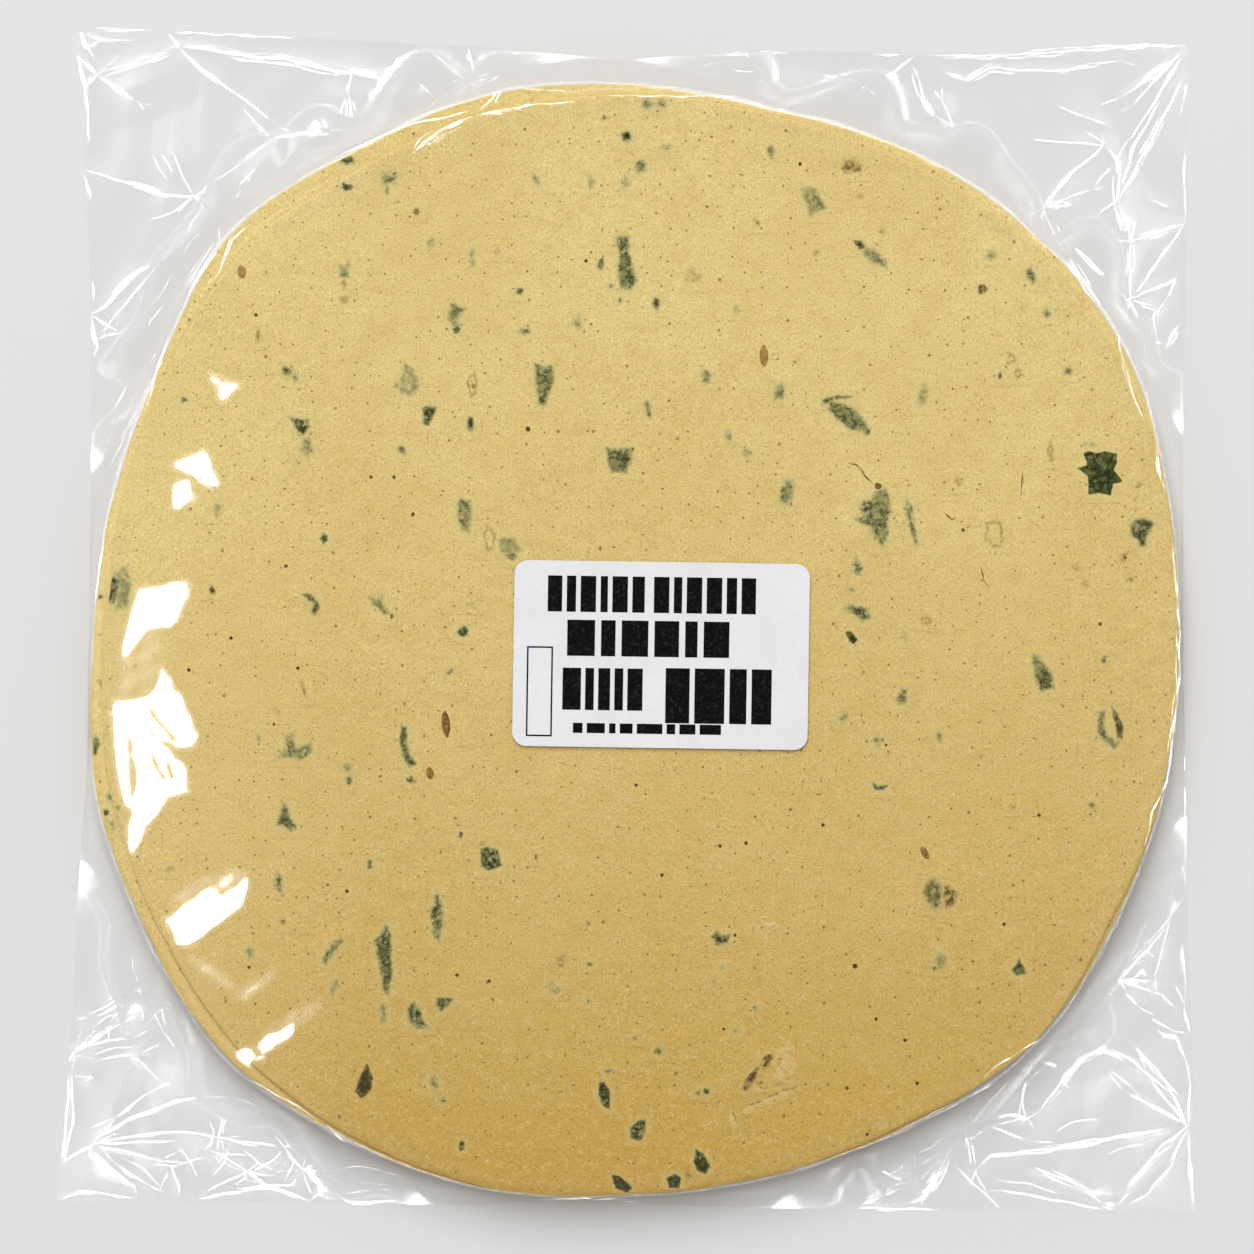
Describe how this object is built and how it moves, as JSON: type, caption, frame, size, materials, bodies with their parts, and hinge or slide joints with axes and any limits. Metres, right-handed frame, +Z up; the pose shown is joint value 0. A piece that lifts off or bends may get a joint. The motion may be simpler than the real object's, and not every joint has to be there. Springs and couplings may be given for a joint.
{
  "type": "stack of green chilli papadums in a clear bag",
  "caption": "Round stack of thin raw green chilli papadums, sealed flat in a clear crinkled film bag with a small white paper label on top.",
  "frame": {"origin": "on the surface the bag lies on, under the middle of its outline", "axes": "+Z up, +Y away along the longer side towards the label's top edge, +X to the right of the label"},
  "size_m": [0.197, 0.2046, 0.0093],
  "materials": {
    "film": "clear thin glossy crinkled film",
    "papad": "dry matt rolled dough, pale yellow, finely specked",
    "chilli": "dried dark green chilli skin",
    "seed": "dry brown spice seed",
    "label_paper": "matt coated paper",
    "label_print": "matt black ink"
  },
  "bodies": {
    "root": {"bag": "film", "label": "label_paper"}
  },
  "joints": []
}
